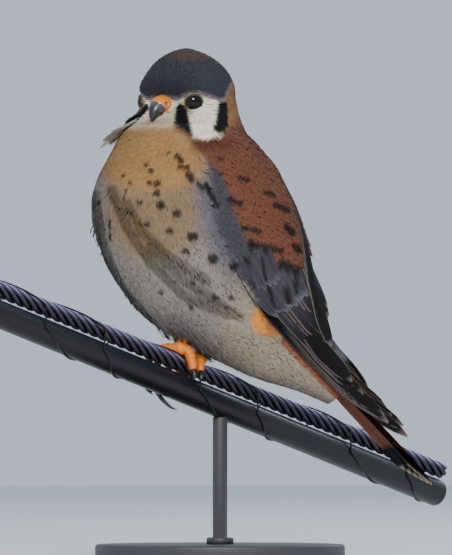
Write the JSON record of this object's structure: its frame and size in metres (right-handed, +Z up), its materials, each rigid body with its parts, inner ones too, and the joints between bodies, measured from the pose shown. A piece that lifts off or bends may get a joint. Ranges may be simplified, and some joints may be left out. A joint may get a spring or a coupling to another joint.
{
  "type": "male american kestrel",
  "caption": "Life-size still model of a small perched falcon looking over its left side, on a cut length of stranded wire and smooth cable, with a round display stand",
  "frame": {"origin": "the middle of the underside of the stand's base", "axes": "+Z is up; the bird heads toward -X; its left side, which the picture shows, is toward -Y"},
  "size_m": [0.2692, 0.1998, 0.2476],
  "materials": {
    "crown_feathers": "soft slate-grey feathering",
    "body_feathers": "soft rufous and buff feathering",
    "neck_feathers": "soft buff feathering",
    "wing_feathers": "smooth blue-grey vanes",
    "tail_feathers": "smooth rufous vanes",
    "horn": "smooth blue-grey horn",
    "eye": "wet dark brown",
    "foot_skin": "orange scaled skin",
    "claw": "smooth black horn",
    "strand_wire": "weathered galvanised wire",
    "cable_sheath": "smooth glossy black sheath",
    "stand_paint": "satin dark grey paint"
  },
  "bodies": {
    "root": {"head": "crown_feathers", "bill_upper": "horn", "bill_lower": "horn", "eye_left": "eye", "eye_right": "eye", "neck": "neck_feathers", "torso": "body_feathers", "wing_left": "wing_feathers", "wing_right": "wing_feathers", "tail": "tail_feathers", "leg_left": "foot_skin", "leg_right": "foot_skin", "foot_left": "foot_skin", "foot_right": "foot_skin", "claw_left_inner": "claw", "claw_left_middle": "claw", "claw_left_outer": "claw", "claw_left_hind": "claw", "claw_right_inner": "claw", "claw_right_middle": "claw", "claw_right_outer": "claw", "claw_right_hind": "claw", "perch_strand": "strand_wire", "perch_cable": "cable_sheath", "stand_base": "stand_paint", "stand_rod": "stand_paint"}
  },
  "joints": []
}
